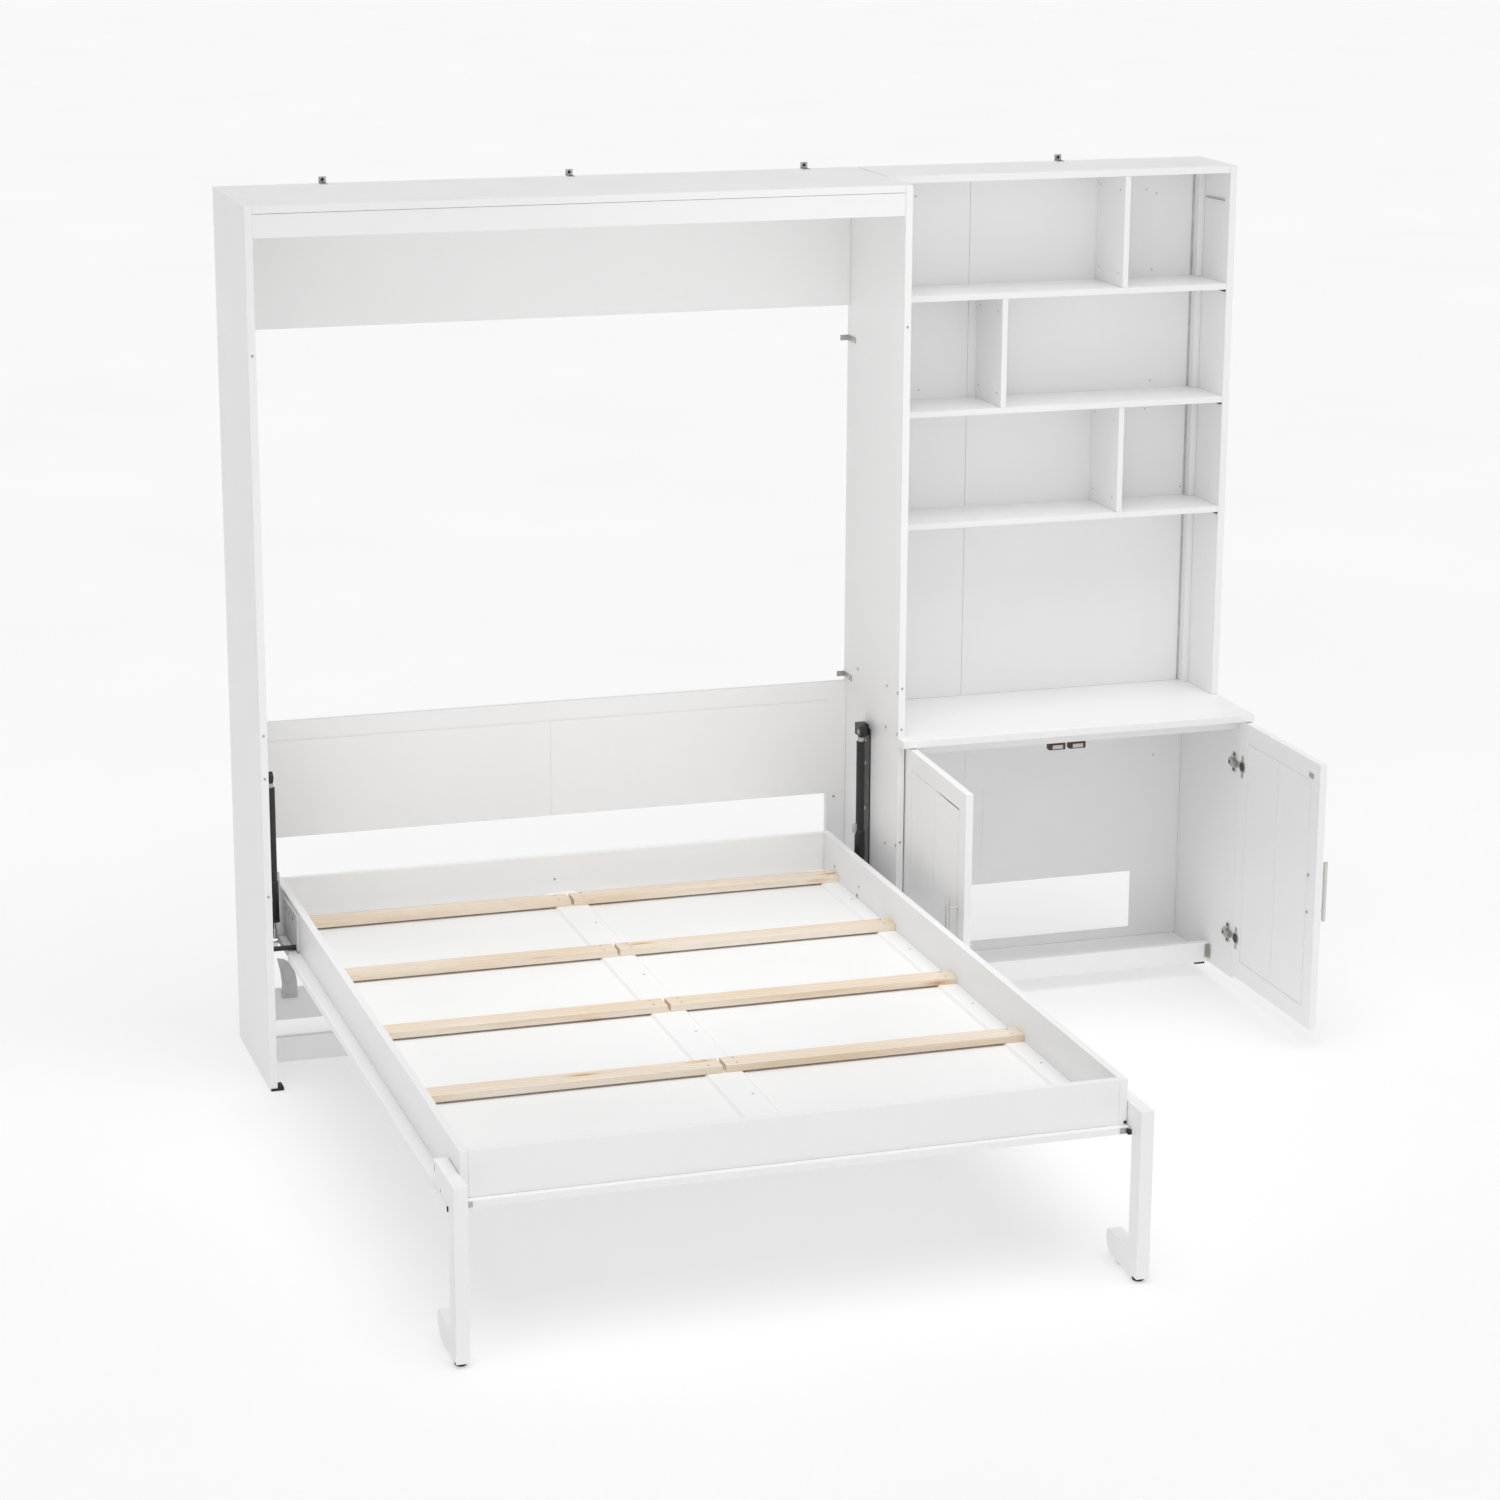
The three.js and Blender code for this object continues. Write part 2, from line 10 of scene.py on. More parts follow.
import bmesh
import bpy
from mathutils import Matrix, Vector


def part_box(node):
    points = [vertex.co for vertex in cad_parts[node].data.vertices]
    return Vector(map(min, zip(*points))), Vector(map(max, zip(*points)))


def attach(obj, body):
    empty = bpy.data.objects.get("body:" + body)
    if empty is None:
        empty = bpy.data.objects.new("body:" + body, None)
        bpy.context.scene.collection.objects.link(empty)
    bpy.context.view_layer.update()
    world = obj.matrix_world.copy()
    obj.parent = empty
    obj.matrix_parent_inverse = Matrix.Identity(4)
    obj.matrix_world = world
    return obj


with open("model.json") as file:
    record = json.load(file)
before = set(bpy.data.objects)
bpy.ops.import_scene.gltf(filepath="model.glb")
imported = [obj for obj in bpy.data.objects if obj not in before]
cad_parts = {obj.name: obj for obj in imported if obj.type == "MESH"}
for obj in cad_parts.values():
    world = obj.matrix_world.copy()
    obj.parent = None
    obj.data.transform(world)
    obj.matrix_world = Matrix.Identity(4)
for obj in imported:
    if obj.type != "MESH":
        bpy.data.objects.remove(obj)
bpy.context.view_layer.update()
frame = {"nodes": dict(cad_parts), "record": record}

# Layout positions are in millimetres: x from the bed cabinet's left face, y from the wall
# (negative towards the room), z from the floor.
SEAM = 0.00015  # metres between a solid and its nominal face
LEFT_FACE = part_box("side_panel_left")[0].x - SEAM
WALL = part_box("side_panel_left")[1].y + SEAM
HEIGHT = 2133
BED_CENTRE = 809
PANEL_INSIDE = 18.15
HUTCH_LEFT, HUTCH_RIGHT = 1636.45, 2534.85  # inner faces of the bookcase's sides
HUTCH_BACK = -52.1  # front face of the bookcase's back
LEDGE_TOP = 340.85
SLAT_TOP = 356.85
DOOR_BACK = -415.8  # inner face of a closed door

# The doors' hinge lines, and how far each door stands open in the frame, in degrees.
HINGE_LEFT = (1628.3, -426)
HINGE_RIGHT = (2543, -426)
DOOR_LEFT_OPEN = 92
DOOR_RIGHT_OPEN = 90

# Widths of the eased edges, in metres.
BOARD_EASING = 0.0006
METAL_EASING = 0.0004

CAMERA_LENS = 90.39
CAMERA_PLACE = (-1513.6, -8940.4, 3159.5)
CAMERA_TURN = (17.736, 14.998, 0.26)  # degrees to the right, down and of roll

WORLD_STRENGTH = 0.46
FLOOR_GLOW = 0.375
FLOOR_HALF = 90  # metres
SUNS = (  # name, strength, softness, elevation, azimuth: the last three in degrees
    ("overhead", 1.46, 60, 75, 0),
    ("front", 0.12, 50, 18, -8),
)
SOFT_LAMPS = (  # name, watts, size in metres, layout place, layout target
    ("bookcase", 0.8, 0.8, (1700, -1700, 1500), (2100, -50, 1000)),
    ("bed_head", 1.3, 0.8, (800, -1100, 1300), (850, -50, 500)),
    ("right", 2.0, 1.0, (1500, -1600, 2400), (2100, -100, 900)),
)


def at(x, y, z):
    return Vector((LEFT_FACE + x / 1000, WALL + y / 1000, z / 1000))


# ---------- camera ----------
def make_camera():
    data = bpy.data.cameras.new("camera")
    data.sensor_width = 36
    data.lens = CAMERA_LENS
    data.clip_end = 60
    camera = bpy.data.objects.new("camera", data)
    bpy.context.scene.collection.objects.link(camera)
    yaw, pitch, roll = (math.radians(a) for a in CAMERA_TURN)
    level = math.cos(pitch)
    forward = Vector((math.sin(yaw) * level, math.cos(yaw) * level, -math.sin(pitch)))
    turn = forward.to_track_quat("-Z", "Y").to_matrix().to_4x4() @ Matrix.Rotation(roll, 4, "Z")
    camera.matrix_world = Matrix.Translation(at(*CAMERA_PLACE)) @ turn
    bpy.context.scene.camera = camera


make_camera()


# ---------- materials ----------
def set_sockets(node, **values):
    """Constants on a node's sockets, which are named in lower case with underscores."""
    for key, value in values.items():
        node.inputs[key.replace("_", " ").title()].default_value = value


class Nodes:
    """A material's node tree with short ways to add and join nodes."""

    def __init__(self, name):
        self.material = bpy.data.materials.new(name)
        self.material.use_nodes = True
        self.tree = self.material.node_tree
        self.shader = self.tree.nodes["Principled BSDF"]

    def add(self, kind, **values):
        node = self.tree.nodes.new(kind)
        for key, value in values.items():
            setattr(node, key, value)
        return node

    def join(self, source, target):
        self.tree.links.new(source, target)

    def coordinates(self, scale):
        """Object coordinates, in metres, stretched by scale."""
        place = self.add("ShaderNodeTexCoord")
        mapping = self.add("ShaderNodeMapping")
        mapping.inputs["Scale"].default_value = scale
        self.join(place.outputs["Object"], mapping.inputs["Vector"])
        return mapping.outputs["Vector"]

    def noise(self, vector, scale, detail, roughness=0.5):
        node = self.add("ShaderNodeTexNoise")
        set_sockets(node, scale=scale, detail=detail, roughness=roughness)
        self.join(vector, node.inputs["Vector"])
        return node.outputs["Fac"]

    def ramp(self, factor, stops):
        node = self.add("ShaderNodeValToRGB")
        elements = node.color_ramp.elements
        while len(elements) < len(stops):
            elements.new(0.5)
        for element, (position, colour) in zip(elements, stops):
            element.position = position
            element.color = (*colour, 1)
        self.join(factor, node.inputs["Fac"])
        return node.outputs["Color"]

    def spread(self, factor, low, high):
        """The factor's 0.3 to 0.7 mapped onto low to high."""
        node = self.add("ShaderNodeMapRange")
        set_sockets(node, from_min=0.3, from_max=0.7, to_min=low, to_max=high)
        self.join(factor, node.inputs["Value"])
        return node.outputs["Result"]

    def multiply(self, a, b):
        """Two colours multiplied; the mix node's sockets 0, 6, 7 and 2 are those for colours."""
        node = self.add("ShaderNodeMix", data_type="RGBA", blend_type="MULTIPLY")
        node.inputs[0].default_value = 1.0
        self.join(a, node.inputs[6])
        self.join(b, node.inputs[7])
        return node.outputs[2]

    def bump(self, height, distance, strength):
        node = self.add("ShaderNodeBump")
        set_sockets(node, distance=distance, strength=strength)
        self.join(height, node.inputs["Height"])
        self.join(node.outputs["Normal"], self.shader.inputs["Normal"])

    def finish(self, colour, roughness, specular=None, metallic=None):
        """Colour from a socket, roughness from a socket or a number."""
        inputs = self.shader.inputs
        self.join(colour, inputs["Base Color"])
        if isinstance(roughness, bpy.types.NodeSocket):
            self.join(roughness, inputs["Roughness"])
        else:
            inputs["Roughness"].default_value = roughness
        if specular is not None:
            inputs["Specular IOR Level"].default_value = specular
        if metallic is not None:
            inputs["Metallic"].default_value = metallic
        return self.material


def painted_board():
    """Satin white laminate: a faint mottle in colour and gloss and a very fine pressed texture."""
    nodes = Nodes("white_board")
    place = nodes.coordinates((1, 1, 1))
    mottle = nodes.noise(place, 3.0, 4)
    tint = (0.94, 0.94, 0.94)
    low = tuple(channel * 0.98 for channel in tint)
    colour = nodes.ramp(mottle, [(0.3, low), (0.7, tint)])
    gloss = nodes.spread(nodes.noise(place, 9.0, 3), 0.36, 0.48)
    fine = nodes.noise(place, 900.0, 2)
    nodes.bump(fine, 0.00004, 0.5)
    return nodes.finish(colour, gloss, specular=0.45)


def pine():
    """Bare pine along X: pale wood, darker rings drawn out along the board, and a few knots."""
    nodes = Nodes("pine")
    along = nodes.coordinates((0.9, 14.0, 14.0))
    drift = nodes.noise(nodes.coordinates((1.2, 5.0, 5.0)), 1.6, 3)
    rings = nodes.add("ShaderNodeTexWave", wave_type="BANDS", bands_direction="Y")
    set_sockets(rings, scale=1.9, distortion=5.5, detail=3.0, detail_scale=0.9)
    nodes.join(along, rings.inputs["Vector"])
    grain = nodes.ramp(
        rings.outputs["Fac"],
        [(0.0, (0.84, 0.71, 0.56)), (0.55, (0.90, 0.80, 0.67)), (1.0, (0.94, 0.87, 0.77))],
    )
    fibre = nodes.noise(nodes.coordinates((6.0, 260.0, 260.0)), 3.0, 4, 0.6)
    fibres = nodes.ramp(fibre, [(0.3, (0.90, 0.88, 0.86)), (0.7, (1.0, 1.0, 1.0))])
    wood = nodes.multiply(grain, fibres)
    broad = nodes.ramp(drift, [(0.32, (0.93, 0.86, 0.78)), (0.62, (1.0, 1.0, 1.0))])
    wood = nodes.multiply(wood, broad)
    cells = nodes.add("ShaderNodeTexVoronoi", feature="F1")
    set_sockets(cells, scale=1.0, randomness=1.0)
    nodes.join(nodes.coordinates((3.2, 17.0, 17.0)), cells.inputs["Vector"])
    knot = nodes.ramp(
        cells.outputs["Distance"],
        [(0.03, (0.62, 0.42, 0.26)), (0.08, (0.86, 0.68, 0.50)), (0.17, (1.0, 1.0, 1.0))],
    )
    wood = nodes.multiply(wood, knot)
    nodes.bump(fibre, 0.0002, 0.6)
    return nodes.finish(wood, nodes.spread(fibre, 0.55, 0.72), specular=0.35)


def coated_steel(name, colour, roughness):
    """Powder coat: a tight orange peel with slight changes of gloss."""
    nodes = Nodes(name)
    place = nodes.coordinates((1, 1, 1))
    peel = nodes.noise(place, 1400.0, 2)
    cloud = nodes.noise(place, 40.0, 3)
    low = tuple(channel * 0.8 for channel in colour)
    nodes.bump(peel, 0.00006, 0.7)
    tone = nodes.ramp(cloud, [(0.3, low), (0.7, colour)])
    return nodes.finish(tone, nodes.spread(cloud, roughness - 0.06, roughness + 0.08))


def bright_metal(name, colour, roughness, stretch):
    """Plated or brushed metal: fine scratches drawn out along one axis."""
    nodes = Nodes(name)
    scratches = nodes.noise(nodes.coordinates(stretch), 30.0, 4, 0.6)
    low = tuple(channel * 0.86 for channel in colour)
    nodes.bump(scratches, 0.00003, 0.5)
    tone = nodes.ramp(scratches, [(0.3, low), (0.7, colour)])
    gloss = nodes.spread(scratches, roughness - 0.06, roughness + 0.08)
    return nodes.finish(tone, gloss, metallic=1.0)


WHITE = painted_board()
PINE = pine()
BLACK = coated_steel("black_powder_coat", (0.018, 0.018, 0.019), 0.42)
RUBBER = coated_steel("black_rubber", (0.02, 0.02, 0.02), 0.7)
BROWN = coated_steel("brown_plastic", (0.075, 0.032, 0.02), 0.45)
STEEL_WHITE = coated_steel("white_powder_coat", (0.84, 0.84, 0.84), 0.38)
CHROME = bright_metal("chromed_rod", (0.72, 0.72, 0.73), 0.16, (1, 1, 12))
NICKEL = bright_metal("brushed_nickel", (0.56, 0.55, 0.52), 0.32, (20, 20, 1.5))
PULL = bright_metal("satin_pull", (0.76, 0.75, 0.72), 0.40, (20, 20, 1.5))
# Mid grey: the heel glides' grey, and painted shade on the white steel rear straps and in the
# strips beside the battens.
GREY = coated_steel("grey_and_painted_shade", (0.62, 0.62, 0.61), 0.5)
MATERIAL_OF_SLOT = {
    "painted_board": WHITE,
    "pine": PINE,
    "black_steel": BLACK,
    "white_steel": STEEL_WHITE,
    "chrome": CHROME,
    "nickel": PULL,
    "rubber": RUBBER,
}


# ---------- CAD nodes: materials, smooth shading and eased edges ----------
def shading_group():
    """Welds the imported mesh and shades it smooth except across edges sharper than 30 degrees."""
    group = bpy.data.node_groups.new("weld_and_shade", "GeometryNodeTree")
    group.interface.new_socket("Geometry", in_out="INPUT", socket_type="NodeSocketGeometry")
    group.interface.new_socket("Geometry", in_out="OUTPUT", socket_type="NodeSocketGeometry")
    make = group.nodes.new
    start, end = make("NodeGroupInput"), make("NodeGroupOutput")
    merge = make("GeometryNodeMergeByDistance")
    merge.inputs["Distance"].default_value = 0.00001
    strip = make("GeometryNodeRemoveAttribute")
    strip.inputs["Name"].default_value = "custom_normal"
    faces = make("GeometryNodeSetShadeSmooth")
    edges = make("GeometryNodeSetShadeSmooth")
    edges.domain = "EDGE"
    edges.inputs["Shade Smooth"].default_value = False
    angle = make("GeometryNodeInputMeshEdgeAngle")
    sharp = make("FunctionNodeCompare")
    sharp.inputs[1].default_value = math.radians(30)
    join = group.links.new
    join(angle.outputs["Unsigned Angle"], sharp.inputs[0])
    join(sharp.outputs[0], edges.inputs["Selection"])
    for a, b in ((start, strip), (strip, merge), (merge, faces), (faces, edges), (edges, end)):
        join(a.outputs[0], b.inputs[0])
    return group


WELD_AND_SHADE = shading_group()


def shade_by_angle(piece):
    piece.modifiers.new("shade", "NODES").node_group = WELD_AND_SHADE


def ease_edges(piece, width):
    shade_by_angle(piece)
    bevel = piece.modifiers.new("eased_edges", "BEVEL")
    bevel.width = width
    bevel.segments = 2
    bevel.limit_method = "ANGLE"
    bevel.angle_limit = math.radians(35)
    bevel.harden_normals = True


for row in frame["record"]["subparts"]:
    node = frame["nodes"][row["node"]]
    node.data.materials.clear()
    slot = row["material_slot"]
    node.data.materials.append(MATERIAL_OF_SLOT[slot])
    ease_edges(node, BOARD_EASING if slot == "painted_board" else METAL_EASING)


# ---------- small hardware ----------
class Shape:
    """A mesh gathered from closed parts; positions are layout millimetres."""

    def __init__(self):
        self.mesh = bmesh.new()

    def loft(self, rings):
        """Closed rings of the same count, capped at both ends."""
        count = len(rings[0])
        last = (len(rings) - 1) * count
        faces = [tuple(range(count))[::-1], tuple(range(last, last + count))]
        for level in range(len(rings) - 1):
            for i in range(count):
                j = (i + 1) % count
                a, b = level * count, (level + 1) * count
                faces.append((a + i, a + j, b + j, b + i))
        corners = [self.mesh.verts.new(at(*point)) for ring in rings for point in ring]
        for face in faces:
            self.mesh.faces.new([corners[i] for i in face])

    def slab(self, xs, ys, zs):
        (x0, x1), (y0, y1), (z0, z1) = sorted(xs), sorted(ys), sorted(zs)
        self.loft([[(x0, y0, z), (x1, y0, z), (x1, y1, z), (x0, y1, z)] for z in (z0, z1)])

    def turned(self, profile, start, direction, sides=20):
        """Rings of (radius, distance) along direction from start; each end closes flat."""
        along = Vector(direction).normalized()
        side = along.orthogonal().normalized()
        up = along.cross(side)
        turns = [2 * math.pi * i / sides for i in range(sides)]
        spokes = [side * math.cos(t) + up * math.sin(t) for t in turns]
        rings = []
        for radius, distance in profile:
            centre = Vector(start) + along * distance
            rings.append([tuple(centre + spoke * radius) for spoke in spokes])
        self.loft(rings)

    def bar(self, start, end, radius):
        direction = Vector(end) - Vector(start)
        self.turned([(radius, 0), (radius, direction.length)], start, direction)

    def prism(self, outline, front, back):
        """An outline of (x, z) pairs, made thick along y."""
        self.loft([[(x, y, z) for x, z in outline] for y in (front, back)])

    def screw(self, place, direction, radius=4.0, height=1.4):
        """A low domed head with a round socket in it."""
        profile = [
            (radius, 0),
            (radius, height * 0.35),
            (radius * 0.86, height * 0.8),
            (radius * 0.6, height),
            (radius * 0.36, height),
            (radius * 0.34, height * 0.35),
            (radius * 0.02, height * 0.3),
        ]
        self.turned(profile, place, direction, 16)

    def finish(self, name, material, body, slot, easing=0.0, turn=None):
        bmesh.ops.recalc_face_normals(self.mesh, faces=self.mesh.faces)
        mesh = bpy.data.meshes.new(name)
        self.mesh.to_mesh(mesh)
        self.mesh.free()
        if turn:
            mesh.transform(turn)
        mesh.materials.append(material)
        piece = bpy.data.objects.new(name, mesh)
        bpy.context.scene.collection.objects.link(piece)
        ease_edges(piece, easing) if easing else shade_by_angle(piece)
        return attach(piece, body)


def mirrored(x, side):
    """A left-hand x, or its image across the middle of the bed."""
    return x if side == "left" else 2 * BED_CENTRE - x


SIDES = (("left", 1), ("right", -1))


def panel_fittings():
    """Screws on the side panels, brackets at their back edges, glides under them."""
    spots = (
        (-328, 876), (-409, 876), (-325, 769), (-409, 771),
        (-332, 467), (-409, 482), (-109, 868), (-109, 616),
    )
    for side, sign in SIDES:
        x = mirrored(PANEL_INSIDE, side)
        heads = Shape()
        for y, z in spots:
            heads.screw((x, y, z), (sign, 0, 0), 4.2, 1.2)
        heads.screw((mirrored(49, side), -18.2, 508), (0, -1, 0), 3.6, 1.2)
        heads.finish(f"panel_bolts_{side}", NICKEL, "cabinet", "nickel")
        caps = Shape()
        for z in (1790, 888, 783, 491):
            caps.screw((mirrored(9, side), -415.0, z), (0, -1, 0), 3.4, 0.7)
        caps.finish(f"panel_edge_screws_{side}", NICKEL, "cabinet", "nickel")
        for level, z in (("upper", 1705), ("lower", 831)):
            bracket = Shape()
            bracket.slab((x, x + sign * 1.6), (-62, -1), (z - 7, z + 7))
            bracket.slab((x, x + sign * 20), (-2, -0.4), (z - 7, z + 7))
            bracket.finish(f"corner_bracket_{level}_{side}", NICKEL, "cabinet", "nickel", 0.0003)
            screws = Shape()
            screws.screw((x + sign * 1.6, -50, z), (sign, 0, 0), 3.6, 1.2)
            screws.screw((x + sign * 1.6, -20, z), (sign, 0, 0), 3.6, 1.2)
            screws.finish(f"corner_bracket_screws_{level}_{side}", NICKEL, "cabinet", "nickel")
        glide = Shape()
        glide.slab((x - sign * 16.5, x + sign * 15), (-417, -403), (0.2, 6.5))
        glide.slab((x + sign * 0.5, x + sign * 15), (-414, -380), (0.2, 9))
        glide.finish(f"cabinet_glide_{side}", RUBBER, "cabinet", "rubber", 0.0006)


def wall_straps():
    """Punched steel tabs screwed to the back boards, standing just above the top."""
    for number, x in enumerate((264, 875, 1479, 2159), 1):
        strap = Shape()
        strap.slab((x - 9, x + 9), (-3.2, -0.4), (HEIGHT - 20, HEIGHT + 16))
        strap.slab((x - 9, x + 9), (-26, -0.4), (HEIGHT, HEIGHT + 1.8))
        strap.finish(f"wall_strap_{number}", NICKEL, "cabinet", "nickel", 0.0003)
        screws = Shape()
        screws.screw((x, -18, HEIGHT + 1.8), (0, 0, 1), 4.2, 1.6)
        screws.screw((x, -3.2, HEIGHT + 9), (0, -1, 0), 4.2, 1.6)
        screws.finish(f"wall_strap_screws_{number}", BLACK, "cabinet", "black_steel")


def strut_fittings():
    """Rivets and washers at both eyes of each strut, a plated neck and a spring clip."""
    for side, sign in SIDES:
        x = mirrored(BED_CENTRE - 756, side)
        y, top, foot = -237, 737, 320
        upper = Shape()
        upper.turned([(8, 0), (7.6, 11)], (x, y, 711.7), (0, 0, 1))
        rivet = [(6.6, 0), (6.6, 1.0), (4.4, 2.2), (4.0, 2.6)]
        upper.turned(rivet, (x + sign * 6.1, y, top), (sign, 0, 0))
        upper.finish(f"strut_neck_{side}", NICKEL, f"{side}_strut_tube", "nickel")
        clip = Shape()
        clip.slab((x + sign * 9, x + sign * 15.5), (y - 5, y + 6), (468, 496))
        clip.slab((x - sign * 4, x + sign * 15.5), (y + 9, y + 15), (470, 490))
        clip.finish(f"strut_clip_{side}", NICKEL, f"{side}_strut_tube", "nickel", 0.0008)
        collar = Shape()
        collar.turned([(14.4, 0), (14.4, 5), (13.6, 6)], (x, y, 372.5), (0, 0, 1), 24)
        collar.finish(f"strut_sleeve_lip_{side}", BLACK, f"{side}_strut_tube", "black_steel")
        lower = Shape()
        lower.turned([(6.6, 0), (6.6, 1.0), (4.4, 2.0)], (x + sign * 5.1, y, foot), (sign, 0, 0))
        lower.finish(f"strut_foot_rivet_{side}", NICKEL, f"{side}_strut_rod", "nickel")


def pivot_fittings():
    """Screws in the steel plates, bolt heads on the bed's plates and rails, and the rear corner
    straps with their screws.
    """
    for side, sign in SIDES:
        face = mirrored(BED_CENTRE - 787.7, side)
        screws = Shape()
        for y, z in ((-186, 320), (-186, 400), (-186, 520), (-186, 640), (-186, 700), (-320, 344)):
            screws.screw((face, y, z), (sign, 0, 0), 4.6, 1.6)
        screws.finish(f"mount_plate_screws_{side}", NICKEL, "cabinet", "nickel")
        plate = mirrored(BED_CENTRE - 728.3, side)
        bolts = Shape()
        for y in (-342, -300, -258):
            bolts.screw((plate, y, 410), (-sign, 0, 0), 4.6, 2.4)
        for y in (-379, -192):
            bolts.screw((mirrored(104.15, side), y, 372), (sign, 0, 0), 3.6, 1.2)
        bolts.finish(f"bed_plate_bolts_{side}", NICKEL, "bed", "nickel")
        strap = Shape()
        hook = (
            (96, 206), (114, 202), (130, 190), (139, 172), (144, 148),
            (145, 99), (107, 99), (107, 140), (104, 168),
        )
        strap.prism([(mirrored(x, side), z) for x, z in hook], -27.5, -18.4)
        # The strap is white steel, coloured mid grey as painted shade because it stands in shade
        # behind the side panel.
        strap.finish(f"rear_strap_{side}", GREY, "cabinet", "white_steel", 0.0015)
        heads = Shape()
        for x in (117, 135):
            heads.screw((mirrored(x, side), -27.5, 110), (0, -1, 0), 3.4, 1.0)
        heads.finish(f"rear_strap_screws_{side}", NICKEL, "cabinet", "nickel")


def leg_fittings():
    """Rubber buffers between the legs and the floor panel, and the small fixings round them."""
    for side, sign in SIDES:
        body = f"{side}_leg"

        def half(distance):
            """The x that lies this far from the middle of the bed."""
            return mirrored(BED_CENTRE - distance, side)

        buffer = Shape()
        buffer.slab((half(716), half(755.5)), (-2071.4, -2065.6), (321, 332))
        buffer.finish(f"leg_buffer_{side}", RUBBER, body, "rubber", 0.001)
        leaf = Shape()
        leaf.slab((half(701), half(720)), (-2063.6, -2062.2), (322, 334))
        for z in (324.5, 328, 331.5):
            leaf.slab((half(702), half(719)), (-2064.3, -2063.5), (z - 0.8, z + 0.8))
        leaf.finish(f"leg_stop_plate_{side}", NICKEL, "bed", "nickel", 0.0002)
        knob = Shape()
        knob.screw((half(719), -2046.0, 341), (0, -1, 0), 3.6, 2.0)
        knob.finish(f"rail_end_screw_{side}", BLACK, "bed", "black_steel")
        marks = Shape()
        marks.slab((half(752.5), half(753.7)), (-1953, -1949.5), (363, 378))
        head = [(3.4, 0), (3.4, 0.5), (2.8, 0.9)]
        marks.turned(head, (half(753), -2005, 341.5), (-sign, 0, 0), 16)
        marks.finish(f"leg_catch_{side}", NICKEL, body, "nickel", 0.0002)
        heel = Shape()
        foot = [(7, 0), (7.5, 2), (7.5, 4), (5, 11.2)]
        heel.turned(foot, (half(738.5), -2003, 0.2), (0, 0, 1))
        heel.finish(f"leg_heel_glide_{side}", GREY, body, "rubber")


def ledge_fillets():
    """Beads of filler in the corners between the bed's floor and the ledges and centre beam."""
    corners = (
        ("left", "slat_ledge_left", 1),
        ("right", "slat_ledge_right", -1),
        ("beam_right", "centre_beam", 1),
        ("beam_left", "centre_beam", -1),
    )
    for where, name, side in corners:
        low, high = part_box(name)
        edge = ((high if side == 1 else low).x - LEFT_FACE) * 1000 + side * 0.1
        front, back = (low.y - WALL) * 1000 + 1, (high.y - WALL) * 1000 - 1
        bead = Shape()
        outline = [(edge, 336.05), (edge + side * 5, 336.05), (edge, 340.7)]
        bead.prism(outline, front, back)
        bead.finish(f"ledge_bead_{where}", WHITE, "bed", "painted_board")


def bed_screws():
    """Screws at the slats' ends, along the ledges and the centre beam."""
    slats = Shape()
    for row in range(4):
        front = -227 - 426.7 * row
        for x in (128, 776, 842, 1490):
            for y in (front + 14, front + 47):
                slats.screw((x, y, SLAT_TOP), (0, 0, 1), 3.0, 0.7)
    slats.finish("slat_screws", NICKEL, "bed", "nickel")
    ledges = Shape()
    for row in range(4):
        for x in (126, 828, 1497):
            ledges.screw((x, -378 - 424 * row, LEDGE_TOP), (0, 0, 1), 3.0, 0.7)
    ledges.screw((795, -105.2, 376), (0, -1, 0), 3.2, 0.8)
    ledges.finish("ledge_screws", NICKEL, "bed", "nickel")


def bookcase_fittings():
    """Screws, shelf pins and tie bar of the bookcase, battens in its right back corner, and a grey
    strip of painted shadow on the back beside each batten.
    """
    screws = Shape()
    dividers = ((2250, 1836, 2115), (1928, 1547, 1821), (2251, 1262, 1532))
    for left, bottom, top in dividers:
        for y in (-198, -74):
            for z in (bottom + 33, top - 36):
                screws.screw((left + 0.15, y, z), (-1, 0, 0), 2.4, 0.8)
                screws.screw((left + 14.85, y, z), (1, 0, 0), 2.4, 0.8)
    in_the_back = (
        (1758, 2061), (2384, 2059), (2413, 2049), (2406, 1853),
        (1774, 1571), (2411, 1566), (2399, 1493), (2506, 1282),
    )
    for x, z in in_the_back:
        screws.screw((x, HUTCH_BACK, z), (0, -1, 0), 2.2, 0.7)
    screws.screw((HUTCH_RIGHT, -192, 2043), (-1, 0, 0), 2.8, 1.0)
    screws.screw((HUTCH_LEFT, -192, 2043), (1, 0, 0), 2.8, 1.0)
    screws.screw((2455, HUTCH_BACK, 560), (0, -1, 0), 2.4, 0.7)
    screws.finish("bookcase_screws", NICKEL, "cabinet", "nickel")
    pins = Shape()
    for underside in (1821, 1532, 1247):
        for x, sign in ((HUTCH_RIGHT, -1), (HUTCH_LEFT, 1)):
            for y in (-211, -80):
                thickness = (underside - 5.6, underside - 0.25)
                pins.slab((x, x + sign * 5.6), (y - 15, y + 15), thickness)
    pins.finish("shelf_pins", BLACK, "cabinet", "black_steel", 0.0008)
    bar = Shape()
    bar.bar((2532.4, -93, 2041), (2532.4, -203, 2044), 2.2)
    bar.finish("side_tie_bar", NICKEL, "cabinet", "nickel")
    bays = ((1836, 2115), (1547, 1821), (1262, 1532), (762, 1247))
    for number, (low, high) in enumerate(bays, 1):
        batten = Shape()
        batten.slab((2519, 2534.7), (-80, -52.3), (low + 0.3, high - 0.3))
        batten.finish(f"corner_batten_{number}", WHITE, "cabinet", "painted_board", 0.0005)
        # A grey strip on the back beside each batten: painted shadow for the dark gap at the
        # batten's side.
        shadow_strip = Shape()
        shadow_strip.slab((2513, 2518.8), (-53.2, -52.2), (low + 0.3, high - 0.3))
        shadow_strip.finish(f"batten_shadow_strip_{number}", GREY, "cabinet", "rubber")


